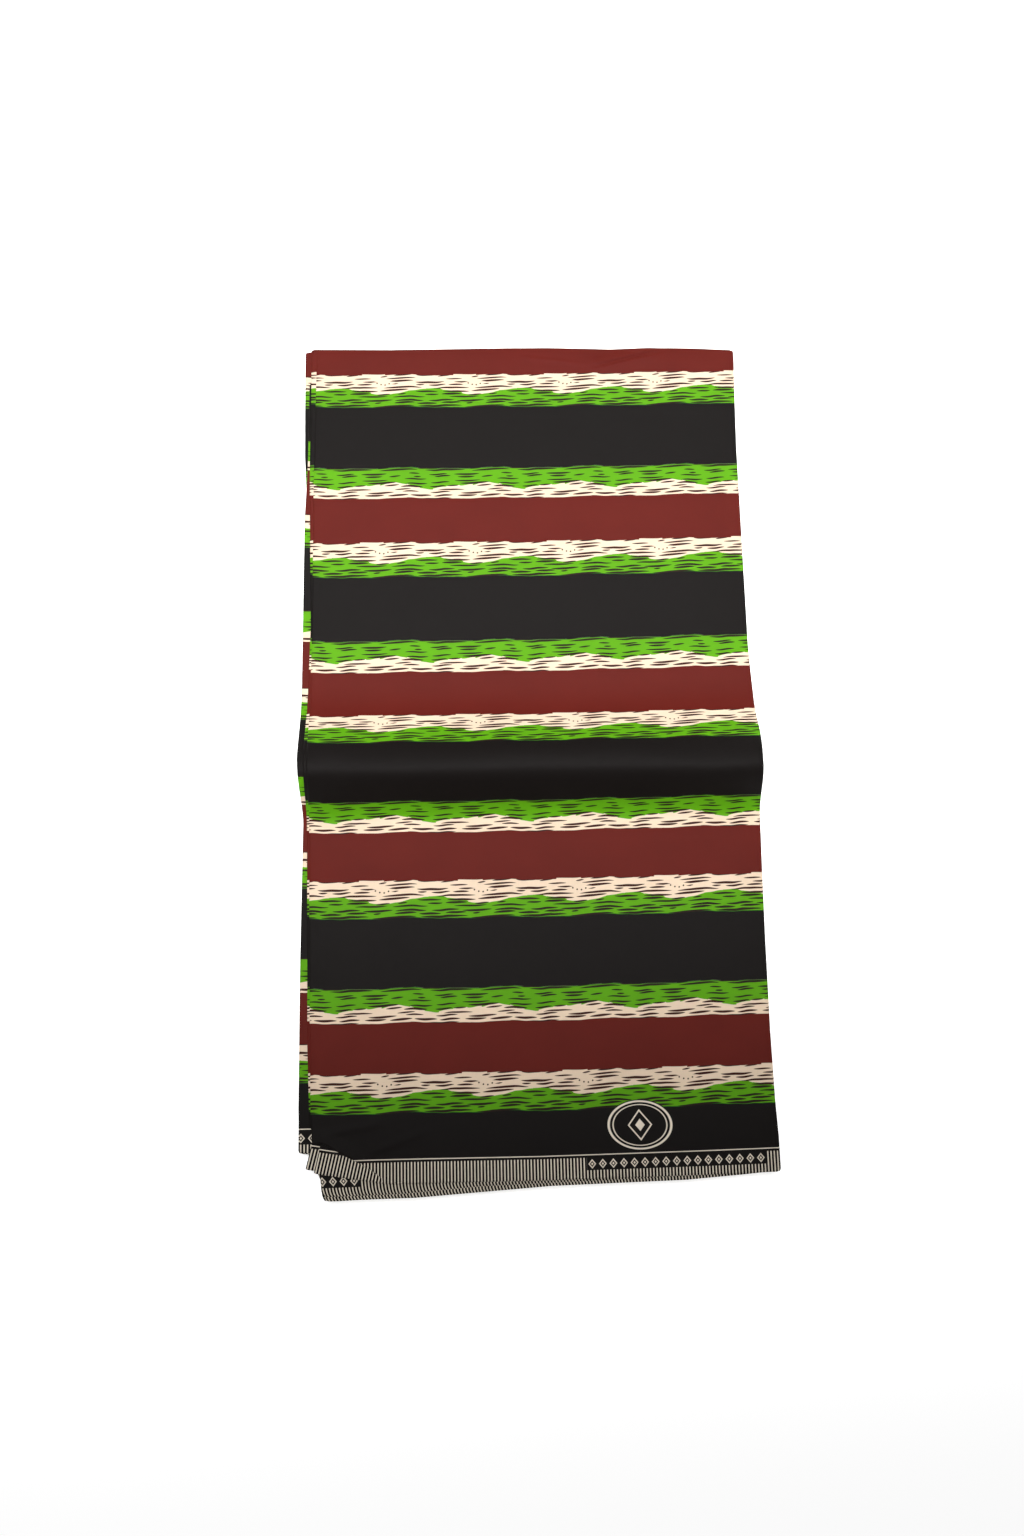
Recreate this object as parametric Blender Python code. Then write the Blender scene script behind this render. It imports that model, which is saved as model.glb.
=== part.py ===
"""Six yards of African wax-print cotton, folded into a flat bundle and laid on a surface.

The cloth is folded in half across its width, so that its two selvedges meet, and then back and forth along
its length in panels of about one foot. The two halves of the panel under the top one have slipped apart, so
that one sticks out along the left side and the other along the near side. The bundle lies on the last
panel. Its underside is at z = 0.

Places on the bundle are given as u, from the left edge of the top layer to the right, and v, from the top
layer's selvedge at the near side to the fold at the far side. All values are in metres.
"""

from math import cos, pi, radians, sin, sqrt

import bmesh
import bpy
from mathutils import Matrix, Vector

# Driving dimensions
PANEL_WIDTH = 0.303  # one panel, from fold to fold
PANEL_LENGTH = 0.578  # half the cloth's width as it lies here, from selvedge to fold
STACK = 0.016  # the whole bundle where it lies flat, 36 layers of cotton
WALL = 0.001  # one layer that shows, thicker here than the cotton itself
GAP = 0.0003  # between one layer and the next

# The swell is a soft raised band across the bundle, left where it was once folded in two
SWELL_RISE = 0.0249
SWELL_CREST = 0.2657  # its v
SWELL_NEAR = 0.0335  # from the crest down to the near foot, the steeper side
SWELL_FAR = 0.0768  # from the crest down to the far foot
SWELL_ROWS_NEAR = 7
SWELL_ROWS_FAR = 12

# The rumple is the near left corner of the top layer, where the selvedge end is turned clockwise
RUMPLE_TURN = radians(13)
RUMPLE_START = 0.048  # u where the selvedge leaves its straight line
RUMPLE_BEND = 0.020  # length of selvedge over which it takes its full turn
RUMPLE_BAND = 0.013  # the strip along the selvedge that turns without changing shape
RUMPLE_FADE = 0.017  # width of cloth behind that strip, which takes up the slack
RUMPLE_LIFT = 0.0028  # height of the slack
RUMPLE_STEPS = 12

# Rounded edges and corners
CORNER_RADIUS = 0.0022
SHOULDER = 0.0003  # how far a layer's rim draws in at its two faces
GROOVE = 0.0009  # depth of the grooves in the sides of the hidden layers
NEAR_RIGHT_REACH = 0.0016  # how far the top layer's near right corner reaches past its line
NEAR_RIGHT_FADE = 0.100  # v by which that has faded out

# Widths of cloth in which the left and near edges run into the plain rectangle
LEFT_FADE = 0.040
NEAR_FADE = 0.080

# How far each piece reaches to the left of u = 0, at these v
LEFT_EDGES = (
    {"v": 0.000, "top": 0.0006, "near": -0.0092, "left": 0.0069, "hidden": -0.0060},
    {"v": 0.010, "top": 0.0000, "near": -0.0055, "left": 0.0069, "hidden": -0.0048},
    {"v": 0.020, "top": -0.0003, "near": -0.0018, "left": 0.0068, "hidden": 0.0004},
    {"v": 0.035, "top": -0.0005, "near": 0.0008, "left": 0.0067, "hidden": 0.0014},
    {"v": 0.140, "top": 0.0008, "near": 0.0014, "left": 0.0060, "hidden": 0.0018},
    {"v": 0.235, "top": 0.0014, "near": 0.0018, "left": 0.0046, "hidden": 0.0012},
    {"v": 0.272, "top": 0.0018, "near": 0.0044, "left": 0.0068, "hidden": 0.0040},
    {"v": 0.370, "top": 0.0004, "near": 0.0010, "left": 0.0060, "hidden": 0.0016},
    {"v": 0.480, "top": 0.0000, "near": 0.0028, "left": 0.0054, "hidden": 0.0018},
    {"v": 0.560, "top": -0.0014, "near": 0.0022, "left": 0.0060, "hidden": 0.0016},
)

# Where each piece's selvedge lies, as v, at these u
NEAR_EDGES = (
    {"u": 0.000, "top": 0.0000, "near": -0.0114, "left": 0.0193, "hidden": -0.0062},
    {"u": 0.060, "top": 0.0000, "near": -0.0106, "left": 0.0160, "hidden": -0.0050},
    {"u": 0.110, "top": 0.0000, "near": -0.0068, "left": 0.0120, "hidden": -0.0030},
    {"u": 0.210, "top": -0.0003, "near": -0.0040, "left": 0.0070, "hidden": -0.0006},
    {"u": 0.260, "top": -0.0003, "near": -0.0024, "left": 0.0060, "hidden": 0.0004},
    {"u": 0.303, "top": -0.0004, "near": 0.0010, "left": 0.0050, "hidden": 0.0020},
)

# How far each ridge of the hidden layers reaches past their lines, from the bottom ridge up
HIDDEN_RIDGES = (
    {"left": 0.0002, "right": -0.0002, "near": -0.0012, "far": -0.0006},
    {"left": 0.0014, "right": -0.0010, "near": 0.0006, "far": -0.0012},
    {"left": -0.0008, "right": 0.0003, "near": -0.0018, "far": 0.0002},
    {"left": 0.0008, "right": -0.0005, "near": 0.0002, "far": -0.0004},
    {"left": 0.0018, "right": 0.0004, "near": -0.0008, "far": -0.0014},
    {"left": -0.0002, "right": -0.0012, "near": 0.0010, "far": 0.0002},
    {"left": 0.0012, "right": 0.0002, "near": -0.0014, "far": -0.0008},
    {"left": 0.0000, "right": -0.0004, "near": 0.0004, "far": 0.0000},
)

# Lines that cut a block across, besides the rows of the swell
EDGE_LINES = (0.0011, CORNER_RADIUS)  # in from each edge, for the rounded corners
TOP_COLUMNS = (0.007, 0.012, 0.020, 0.030, 0.042, 0.056, 0.110, 0.210, 0.260)
TOP_ROWS = (0.007, 0.010, 0.0145, 0.019, 0.0235, 0.028, 0.034, 0.060, 0.100, 0.140, 0.190)
LOWER_COLUMNS = (0.020, 0.040, 0.060, 0.110, 0.210, 0.260)
LOWER_ROWS = (0.010, 0.020, 0.035, 0.060, 0.100, 0.140, 0.190)
FAR_ROWS = (0.370, 0.420, 0.480, 0.530, 0.560)
RIM_LEVELS = (0.0, 0.25, 0.75, 1.0)  # from a layer's upper face to its lower face
RIDGE_LEVELS = (0.0, 0.25, 0.75)  # a groove, then the lower and upper edge of the ridge above it

# Slack for rounding when a point is tested against a line or a level of its block
ON_LINE = 1e-5
ON_LEVEL = 0.01
ON_CUT = 1e-6

ROUGHNESS = 0.85
SHARP_ANGLE = radians(50)  # edges bent more than this are drawn sharp

COLOURS = {
    "top_layer": (0.150, 0.028, 0.024),
    "left_layer": (0.090, 0.350, 0.020),
    "near_layer": (0.012, 0.010, 0.010),
    "hidden_layers": (0.780, 0.680, 0.520),
}


def clear_scene():
    for thing in list(bpy.data.objects):
        bpy.data.objects.remove(thing, do_unlink=True)


def smooth(t):
    """0 below t = 0, 1 above t = 1, and an even S between them."""
    t = min(max(t, 0.0), 1.0)
    return t * t * (3 - 2 * t)


def read_table(rows, key, column, at):
    """The value of one column of a table, between its rows in a straight line."""
    if at <= rows[0][key]:
        return rows[0][column]
    for low, high in zip(rows, rows[1:]):
        if at <= high[key]:
            part = (at - low[key]) / (high[key] - low[key])
            return low[column] + part * (high[column] - low[column])
    return rows[-1][column]


def swell(v):
    """The rise and the slope of the swell at v. The far side is hollow, and runs out gently."""
    if v < SWELL_CREST:
        part, reach, power = (SWELL_CREST - v) / SWELL_NEAR, -SWELL_NEAR, 1
    else:
        part, reach, power = (v - SWELL_CREST) / SWELL_FAR, SWELL_FAR, 2
    if part >= 1:
        return 0.0, 0.0
    wave = (1 + cos(pi * part)) / 2
    fall = -sin(pi * part) * pi / 2 / reach
    return SWELL_RISE * wave**power, SWELL_RISE * power * wave ** (power - 1) * fall


def under_top(u, v, depth):
    """The point that lies depth under the bundle's upper surface at u and v, measured square to it."""
    rise, slope = swell(v)
    lean = sqrt(1 + slope * slope)
    return Vector((u, v + depth * slope / lean, STACK + rise - depth / lean))


def rounded(u, v):
    """Moves a point near a corner of the plain rectangle so that the corner becomes a quarter circle."""
    r = CORNER_RADIUS
    centre_u = min(max(u, r), PANEL_WIDTH - r)
    centre_v = min(max(v, r), PANEL_LENGTH - r)
    x, y = (u - centre_u) / r, (v - centre_v) / r
    return centre_u + r * x * sqrt(1 - y * y / 2), centre_v + r * y * sqrt(1 - x * x / 2)


def to_its_edges(piece, u, v):
    """Moves a point of the plain rectangle to where the edges of this piece lie."""
    left = read_table(LEFT_EDGES, "v", piece, v)
    near = read_table(NEAR_EDGES, "u", piece, u)
    right = 0.0
    if piece == "top":
        right = NEAR_RIGHT_REACH * smooth(u / PANEL_WIDTH) * (1 - smooth(v / NEAR_RIGHT_FADE))
    return u + right - left * (1 - smooth(u / LEFT_FADE)), v + near * (1 - smooth(v / NEAR_FADE))


def turned_selvedge(u, v):
    """Where the rumpled selvedge strip carries the point, as if the strip were a bent ribbon."""
    middle = RUMPLE_BAND / 2
    x, y, turn = RUMPLE_START, middle, 0.0
    step = (RUMPLE_START - u) / RUMPLE_STEPS
    for i in range(RUMPLE_STEPS):
        turn = RUMPLE_TURN * smooth((i + 0.5) * step / RUMPLE_BEND)
        x -= step * cos(turn)
        y += step * sin(turn)
    return x + (v - middle) * sin(turn), y + (v - middle) * cos(turn)


def rumpled(u, v):
    """Where a point of the top layer goes in its near left corner, and how high it is lifted there."""
    if u >= RUMPLE_START:
        return u, v, 0.0
    behind = (v - RUMPLE_BAND) / RUMPLE_FADE
    kept = 1 - smooth(behind)
    strip_u, strip_v = turned_selvedge(u, min(v, RUMPLE_BAND + RUMPLE_FADE))
    lift = RUMPLE_LIFT * (1 - smooth(u / RUMPLE_START)) * sin(pi * min(max(behind, 0), 1)) ** 2
    return u + (strip_u - u) * kept, v + (strip_v - v) * kept, lift


def between(low, high, count):
    """Evenly spaced lines from low to high, both included."""
    return [low + (high - low) * i / count for i in range(count + 1)]


def all_lines(span, inner):
    """The lines that cut a block from 0 to span: its ends, the lines for its corners, and the inner ones."""
    edges = [0.0, *EDGE_LINES, span, *(span - line for line in EDGE_LINES)]
    return sorted({round(line, 5) for line in [*edges, *inner]})


def swell_rows():
    near = between(SWELL_CREST - SWELL_NEAR, SWELL_CREST, SWELL_ROWS_NEAR)
    far = between(SWELL_CREST, SWELL_CREST + SWELL_FAR, SWELL_ROWS_FAR)
    return near + far[1:]


def cut_block(columns, rows, levels):
    """A closed block whose faces are cut at each line, its corners still plain u, v and level."""
    bm = bmesh.new()
    size = Vector((columns[-1], rows[-1], levels[-1]))
    place = Matrix.Translation(size / 2) @ Matrix.Diagonal((*size, 1))
    bmesh.ops.create_cube(bm, size=1, matrix=place)
    for axis, lines in enumerate((columns, rows, levels)):
        normal = Vector((0, 0, 0))
        normal[axis] = 1
        for line in lines[1:-1]:
            everything = [*bm.verts, *bm.edges, *bm.faces]
            bmesh.ops.bisect_plane(bm, geom=everything, dist=ON_CUT, plane_co=normal * line, plane_no=normal)
    return bm


def edge_signs(u, v):
    """-1, 0 or 1 for each direction: whether the point is on a side of the plain rectangle, and which."""
    across = (u > PANEL_WIDTH - ON_LINE) - (u < ON_LINE)
    along = (v > PANEL_LENGTH - ON_LINE) - (v < ON_LINE)
    return across, along


def is_whole(level):
    return abs(level - round(level)) < ON_LEVEL


def place_in_layer(piece, depth, u, v, level):
    """Where a corner of a layer's block goes. Level 0 is its upper face, and 1 its lower face."""
    across, along = edge_signs(u, v)
    drawn_in = SHOULDER if is_whole(level) else 0.0
    u, v = rounded(u, v)
    u, v = to_its_edges(piece, u, v)
    lift = 0.0
    if piece == "top":
        u, v, lift = rumpled(u, v)
    point = under_top(u - across * drawn_in, v - along * drawn_in, depth + level * WALL)
    point.z += lift
    return point


def place_in_hidden_layers(depth, u, v, level):
    """Where a corner of the hidden layers' block goes. Level 0 is the underside, and each ridge adds 1."""
    across, along = edge_signs(u, v)
    in_groove = is_whole(level)
    above = HIDDEN_RIDGES[min(int(level + ON_LEVEL), len(HIDDEN_RIDGES) - 1)]
    below = HIDDEN_RIDGES[max(round(level) - 1, 0)] if in_groove else above
    reach = {side: min(above[side], below[side]) - (GROOVE if in_groove else 0.0) for side in above}
    u, v = rounded(u, v)
    u, v = to_its_edges("hidden", u, v)
    u += {-1: -reach["left"], 0: 0.0, 1: reach["right"]}[across]
    v += {-1: -reach["near"], 0: 0.0, 1: reach["far"]}[along]
    top = under_top(u, v, depth)
    part = level / len(HIDDEN_RIDGES)
    return Vector((u, v + (top.y - v) * part, top.z * part))


def cotton(name):
    material = bpy.data.materials.new(f"{name}_cotton")
    material.use_nodes = True
    shader = material.node_tree.nodes["Principled BSDF"]
    shader.inputs["Base Color"].default_value = (*COLOURS[name], 1)
    shader.inputs["Roughness"].default_value = ROUGHNESS
    shader.inputs["Metallic"].default_value = 0.0
    material.diffuse_color = (*COLOURS[name], 1)
    return material


def finish_object(name, bm, collection):
    mesh = bpy.data.meshes.new(name)
    bm.to_mesh(mesh)
    bm.free()
    mesh.shade_smooth()
    mesh.set_sharp_from_angle(angle=SHARP_ANGLE)
    mesh.materials.append(cotton(name))
    thing = bpy.data.objects.new(name, mesh)
    collection.objects.link(thing)
    return thing


def make_layer(piece, depth, columns, rows, collection):
    bm = cut_block(
        all_lines(PANEL_WIDTH, columns),
        all_lines(PANEL_LENGTH, [*rows, *swell_rows(), *FAR_ROWS]),
        RIM_LEVELS,
    )
    for vert in bm.verts:
        vert.co = place_in_layer(piece, depth, *vert.co)
    bmesh.ops.reverse_faces(bm, faces=bm.faces)  # its levels run down, which turned the block inside out
    return finish_object(f"{piece}_layer", bm, collection)


def make_hidden_layers(depth, collection):
    levels = [ridge + part for ridge in range(len(HIDDEN_RIDGES)) for part in RIDGE_LEVELS]
    levels.append(len(HIDDEN_RIDGES))
    bm = cut_block(
        all_lines(PANEL_WIDTH, LOWER_COLUMNS),
        all_lines(PANEL_LENGTH, [*LOWER_ROWS, *swell_rows(), *FAR_ROWS]),
        levels,
    )
    underside = [face for face in bm.faces if all(vert.co.z < ON_LINE for vert in face.verts)]
    bmesh.ops.dissolve_faces(bm, faces=underside)
    for vert in bm.verts:
        vert.co = place_in_hidden_layers(depth, *vert.co)
    return finish_object("hidden_layers", bm, collection)


def centre_on_origin(things):
    """Slides all the pieces together until the middle of their box is over the origin."""
    corners = [vert.co for thing in things for vert in thing.data.vertices]
    shift = Vector((0, 0, 0))
    for axis in (0, 1):
        values = [corner[axis] for corner in corners]
        shift[axis] = -(min(values) + max(values)) / 2
    for thing in things:
        thing.data.transform(Matrix.Translation(shift))


def main():
    clear_scene()
    collection = bpy.data.collections.new("ankara_fabric")
    bpy.context.scene.collection.children.link(collection)
    step = WALL + GAP
    things = [
        make_layer("top", 0.0, TOP_COLUMNS, TOP_ROWS, collection),
        make_layer("left", step, LOWER_COLUMNS, LOWER_ROWS, collection),
        make_layer("near", 2 * step, LOWER_COLUMNS, LOWER_ROWS, collection),
        make_hidden_layers(3 * step, collection),
    ]
    centre_on_origin(things)
    for thing in things:
        print(thing.name, len(thing.data.polygons), "faces", [round(x, 4) for x in thing.dimensions])


main()
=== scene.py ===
# %% [markdown]
# # Six yards of African wax-print cotton, folded into a flat bundle
#
# A market trader folds a length of wax print in half across its width, so that the two selvedges meet, and
# then back and forth in panels of about one foot. The bundle that lies here has 18 of these doubled panels,
# which makes 36 layers of cotton. It was once folded in two across the middle, and a soft raised band, the
# swell, is left there.
#
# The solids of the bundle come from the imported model. This lesson lays real sheets of cloth over them.

# %% Loading the solids
from math import ceil, cos, pi, radians, sin, sqrt

import bmesh
import bpy
from mathutils import Matrix, Vector, noise


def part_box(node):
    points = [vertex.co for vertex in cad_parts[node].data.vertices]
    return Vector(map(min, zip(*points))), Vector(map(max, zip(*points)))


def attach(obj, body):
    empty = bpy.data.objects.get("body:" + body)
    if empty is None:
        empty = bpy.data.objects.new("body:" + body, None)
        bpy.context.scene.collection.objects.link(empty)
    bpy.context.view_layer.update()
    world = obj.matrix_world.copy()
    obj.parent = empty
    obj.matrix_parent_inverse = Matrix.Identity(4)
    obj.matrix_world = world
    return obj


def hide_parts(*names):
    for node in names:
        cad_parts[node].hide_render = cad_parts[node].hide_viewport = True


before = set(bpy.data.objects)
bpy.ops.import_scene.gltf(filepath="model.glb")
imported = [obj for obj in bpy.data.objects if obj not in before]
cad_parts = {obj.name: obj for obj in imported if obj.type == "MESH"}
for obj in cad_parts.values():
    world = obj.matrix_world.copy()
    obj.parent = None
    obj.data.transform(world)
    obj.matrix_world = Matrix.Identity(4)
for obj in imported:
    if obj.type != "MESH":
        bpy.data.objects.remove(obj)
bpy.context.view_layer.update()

# %% [markdown]
# ## Places on the bundle
#
# All places are given as u, from the left edge of the top panel to the right, and v, from its selvedge at
# the near side to the fold at the far side. That is how a maker would measure on the table. Two of the
# solids say where u and v start.

# %% The bundle's measures
PANEL_WIDTH = 0.303
PANEL_LENGTH = 0.578
STACK = 0.016
PANELS = 18
LAYERS = 2 * PANELS
COTTON = 0.00026  # thickness of the cloth

start = Vector((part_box("near_layer")[1].x - PANEL_WIDTH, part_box("top_layer")[1].y - PANEL_LENGTH, 0))
print("u and v start at", [round(x, 4) for x in start])


def smooth(t):
    """0 below t = 0, 1 above t = 1, and an even S between them."""
    t = min(max(t, 0.0), 1.0)
    return t * t * (3 - 2 * t)


def bump(t):
    """1 at t = 0, falling evenly to 0 at t = -1 and t = 1."""
    return (1 + cos(pi * min(max(t, -1.0), 1.0))) / 2


def mix(a, b, part):
    return a + (b - a) * part


def read_table(rows, key, column, at):
    """The value of one column of a table, between its rows in a straight line."""
    if at <= rows[0][key]:
        return rows[0][column]
    for low, high in zip(rows, rows[1:]):
        if at <= high[key]:
            return mix(low[column], high[column], (at - low[key]) / (high[key] - low[key]))
    return rows[-1][column]


# %% [markdown]
# ## The swell
#
# A cloth that was folded in two and opened again keeps a ridge. The upper layers had to go round the inside
# of the fold, so they have length to spare and stand highest. The bottom layer lies flat. One curve gives
# the rise of the top layer, and each layer under it gets its share of that.

# %% The swell's curve
SWELL_RISE = 0.0249
SWELL_CREST = 0.2657  # the v of its highest line
SWELL_NEAR, SWELL_FAR = 0.0335, 0.0768  # how far it reaches from there to the near and the far side


def swell(v):
    """The rise of the top layer at v. The near side is steep, and the far side is hollow."""
    if v < SWELL_CREST:
        return SWELL_RISE * bump((SWELL_CREST - v) / SWELL_NEAR)
    return SWELL_RISE * bump((v - SWELL_CREST) / SWELL_FAR) ** 2


def pitch(v):
    """Height from one layer to the next."""
    return (STACK + swell(v)) / LAYERS


STEP = 0.001
spare = [0.0]  # how much longer the top layer is than the table under it, up to each millimetre of v
for i in range(ceil(PANEL_LENGTH / STEP) + 1):
    climb = swell((i + 1) * STEP) - swell(i * STEP)
    spare.append(spare[-1] + sqrt(STEP**2 + climb**2) - STEP)


def spare_length(v):
    i = min(max(v / STEP, 0.0), len(spare) - 1.001)
    return mix(spare[int(i)], spare[int(i) + 1], i % 1)


print("The swell takes up", round(spare_length(PANEL_LENGTH) * 1000, 1), "mm of the top layer")

# %% [markdown]
# ## Where the edges lie
#
# No panel lies exactly over the next. The two halves of the panel under the top one have slipped apart: its
# upper half sticks out along the left side, and its lower half along the near side. With straight edges the
# bundle would look like a box, so tables say how far each edge lies outside the plain rectangle. "first"
# and "second" are the two halves of the cloth's width. For the edges at the left and right, v is measured
# along the cloth from the panel's own selvedge.

# %% Tables of edges
def listed(keys, *rows):
    """A table's rows, each with its numbers under these keys."""
    return [dict(zip(keys.split(), row)) for row in rows]


TOP_LEFT = listed(
    "v first second",
    (0.000, -0.0027, 0.0032), (0.016, -0.0027, 0.0028), (0.024, -0.0022, -0.0004),
    (0.045, -0.0010, 0.0000), (0.080, -0.0004, 0.0014), (0.140, 0.0004, 0.0018),
    (0.235, 0.0012, 0.0028), (0.272, 0.0018, 0.0044), (0.370, 0.0002, 0.0012), (0.480, -0.0002, 0.0028),
    (0.560, -0.0016, 0.0020),
)
TOP_NEAR = listed(
    "u first second",
    (0.000, -0.0014, 0.0002), (0.060, -0.0015, 0.0000), (0.150, -0.0020, 0.0004),
    (0.210, -0.0015, 0.0006), (0.260, -0.0010, 0.0006), (0.303, -0.0004, 0.0004),
)
NEXT_LEFT = listed(
    "v first second",
    (0.000, -0.0102, 0.0060), (0.002, -0.0090, 0.0060), (0.005, -0.0083, 0.0060),
    (0.013, -0.0074, 0.0060), (0.018, -0.0040, 0.0060), (0.035, 0.0016, 0.0062),
    (0.140, 0.0024, 0.0059), (0.235, 0.0012, 0.0046), (0.272, 0.0030, 0.0068), (0.370, 0.0016, 0.0060),
    (0.450, 0.0010, 0.0054), (0.490, 0.0004, 0.0034), (0.554, -0.0004, 0.0026),
    (0.562, -0.0004, -0.0016),
)
NEXT_NEAR = listed(
    "u first second",
    (0.000, -0.0088, 0.0187), (0.060, -0.0080, 0.0160), (0.110, -0.0046, 0.0120),
    (0.210, -0.0024, 0.0070), (0.260, -0.0012, 0.0060), (0.303, 0.0012, 0.0050),
)
THIRD_NEAR = listed(
    "u first second",
    (0.000, -0.0114, 0.0180), (0.030, -0.0116, 0.0146), (0.034, -0.0110, 0.0142),
    (0.060, -0.0115, 0.0100), (0.084, -0.0093, 0.0058), (0.110, -0.0065, 0.0020),
    (0.136, -0.0061, 0.0012), (0.187, -0.0050, 0.0000), (0.240, -0.0043, 0.0002),
    (0.265, -0.0029, 0.0008), (0.303, 0.0000, 0.0020),
)
LOWER_LEFT = listed(
    "v out",
    (0.000, -0.0104), (0.003, -0.0092), (0.010, -0.0082), (0.014, -0.0062), (0.022, 0.0000),
    (0.035, 0.0012), (0.140, 0.0018), (0.235, 0.0012), (0.272, 0.0040), (0.370, 0.0016), (0.560, 0.0016),
)
LOWER_NEAR = listed(
    "u first second",
    (0.000, -0.0066, -0.0056), (0.060, -0.0052, -0.0048), (0.110, -0.0032, -0.0026),
    (0.210, -0.0008, -0.0002), (0.260, 0.0002, 0.0008), (0.303, 0.0016, 0.0022),
)
TOP_RIGHT = listed(
    "v out",
    (0.000, 0.0021), (0.020, 0.0020), (0.045, 0.0010), (0.090, 0.0004), (0.150, 0.0006),
    (0.200, 0.0013), (0.235, 0.0020), (0.268, 0.0010), (0.290, 0.0021), (0.320, 0.0019),
    (0.354, 0.0005), (0.500, 0.0004), (0.535, 0.0011), (0.573, 0.0022),
)
TOP_FAR = listed(
    "u out",
    (0.000, 0.0000), (0.055, -0.0003), (0.090, 0.0002), (0.140, 0.0010), (0.170, 0.0011),
    (0.202, 0.0003), (0.215, -0.0001), (0.231, 0.0006), (0.258, 0.0009), (0.275, 0.0006),
    (0.290, -0.0001), (0.304, -0.0008),
)
# How far the fold of panels 15 and 14 sticks out further, near the far left corner
FAR_STRIP = listed(
    "v out",
    (0.370, 0.0), (0.440, 0.0012), (0.490, 0.0038), (0.560, 0.0042),
)
# How far each pair of lower panels reaches further still, from the bottom pair up
PAIRS = listed(
    "left right near far",
    (0.0002, -0.0002, -0.0012, -0.0006), (0.0014, -0.0010, 0.0006, -0.0012),
    (-0.0008, 0.0003, -0.0018, 0.0002), (0.0008, -0.0005, 0.0002, -0.0004),
    (0.0018, 0.0004, -0.0008, -0.0014), (-0.0002, -0.0012, 0.0010, 0.0002),
    (0.0000, 0.0002, -0.0014, -0.0008), (0.0000, -0.0004, 0.0004, 0.0000),
)
PAIR_FADE = 0.030  # the pairs lie in line at the near left corner, up to this v
# How the edges of the lower panels wander besides: how much, over what length, and which waves they take
WANDER = {
    "left": {"by": 0.0003, "over": 0.08, "seed": 0},
    "right": {"by": 0.0003, "over": 0.09, "seed": 40},
    "near": {"by": 0.0008, "over": 0.11, "seed": 80},
    "near half": {"by": 0.0005, "over": 1.0, "seed": 120},
    "far": {"by": 0.0004, "over": 0.09, "seed": 160},
}
CORNER = 0.0022  # radius of the corners
EDGE_FADE = 0.080  # a panel takes up how far its selvedge or far fold lies off the line within this
WAVE_HEIGHT, SEED_STEP = 1.6, 7.31


def wave(seed, at, length):
    """A smooth uneven wave between about -1 and 1, the same at each run."""
    return WAVE_HEIGHT * noise.noise(Vector((at / length, SEED_STEP * seed, 0.5)))


def hilly(u, v, along, across, seed):
    """Smooth hills and hollows, of this size along u and across."""
    return noise.noise(Vector((u / along, v / across, seed)))


def wander(edge, number, at):
    """How far an edge of this number wanders off its line, at a place along it."""
    own = WANDER[edge]
    return own["by"] * wave(number + own["seed"], at, own["over"])


def halves(row_table, key, at, h):
    """A table's value for a half of the cloth. h is 0.5 on the first half and -0.5 on the second."""
    first, second = read_table(row_table, key, "first", at), read_table(row_table, key, "second", at)
    return mix(second, first, h + 0.5)


print("There are", len(PAIRS), "pairs of lower panels")

# %% [markdown]
# ## How a doubled panel is folded
#
# Take the doubled cloth and run along it. It lies in the top panel, goes round a fold at the right, comes
# back in the panel under it, goes round a fold at the left, and so on down to the table. In each fold the
# outer half goes round the inner one. So one rule places every point of the cloth: a station along its
# length says in which panel or fold it is, and a place across its width says how near the selvedge it is
# and on which half. Folding a flat grid by this rule gives real folds with the print running round them,
# which a stack of plates can't.


# %% The rule for a point of the cloth
BULGE = 1.5  # a fold's outer half turns at this radius, in layers
SLACK, SLACK_ON_SWELL = 0.14, 0.2  # how far a layer lies off its level, in layers


def side_of(panel):
    """1 for a panel whose next fold, going down, is at the right, and -1 where it is at the left."""
    return 1 if panel % 2 == 0 else -1


def pair_of(fold, side):
    """The row of PAIRS for a fold at this side. fold is the number of the upper panel that it joins."""
    return PAIRS[min(max((fold - (2 if side > 0 else 3)) // 2, 0), len(PAIRS) - 1)]


def reach_left(panel, h, v):
    """How far a panel reaches to the left of u = 0."""
    if panel == PANELS:
        return halves(TOP_LEFT, "v", v, h)
    if panel >= PANELS - 2:
        return halves(NEXT_LEFT, "v", v, h)
    fold = panel | 1
    own = pair_of(fold, -1)["left"] + wander("left", fold, v)
    reach = read_table(LOWER_LEFT, "v", "out", v) + own * smooth(v / PAIR_FADE)
    if panel >= PANELS - 4:
        reach += read_table(FAR_STRIP, "v", "out", v)
    return reach


def reach_right(panel, v):
    """How far a panel reaches to the right of the plain rectangle."""
    if panel >= PANELS - 1:
        return read_table(TOP_RIGHT, "v", "out", v)
    fold = panel + panel % 2
    return pair_of(fold, 1)["right"] + wander("right", fold, v)


def near_of(panel, h, u):
    """The v at which a panel's selvedge lies."""
    if panel == PANELS:
        return halves(TOP_NEAR, "u", u, h)
    if panel == PANELS - 1:
        return halves(NEXT_NEAR, "u", u, h)
    if panel == PANELS - 2:
        return halves(THIRD_NEAR, "u", u, h)
    own = wander("near", panel, u + h * 0.4) + wander("near half", panel, h * 3)  # the halves differ
    return halves(LOWER_NEAR, "u", u, h) + PAIRS[(panel - 1) // 2]["near"] + own


def far_of(panel, u):
    """The v of a panel's fold at the far side."""
    if panel >= PANELS - 1:
        return PANEL_LENGTH + read_table(TOP_FAR, "u", "out", u)
    return PANEL_LENGTH + PAIRS[(panel - 1) // 2]["far"] + wander("far", panel, u)


def drawn_in(distance):
    """How far an edge draws in at this distance from a corner, so that the corner is round."""
    return CORNER - sqrt(max(CORNER**2 - (CORNER - min(max(distance, 0.0), CORNER)) ** 2, 0.0))


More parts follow.
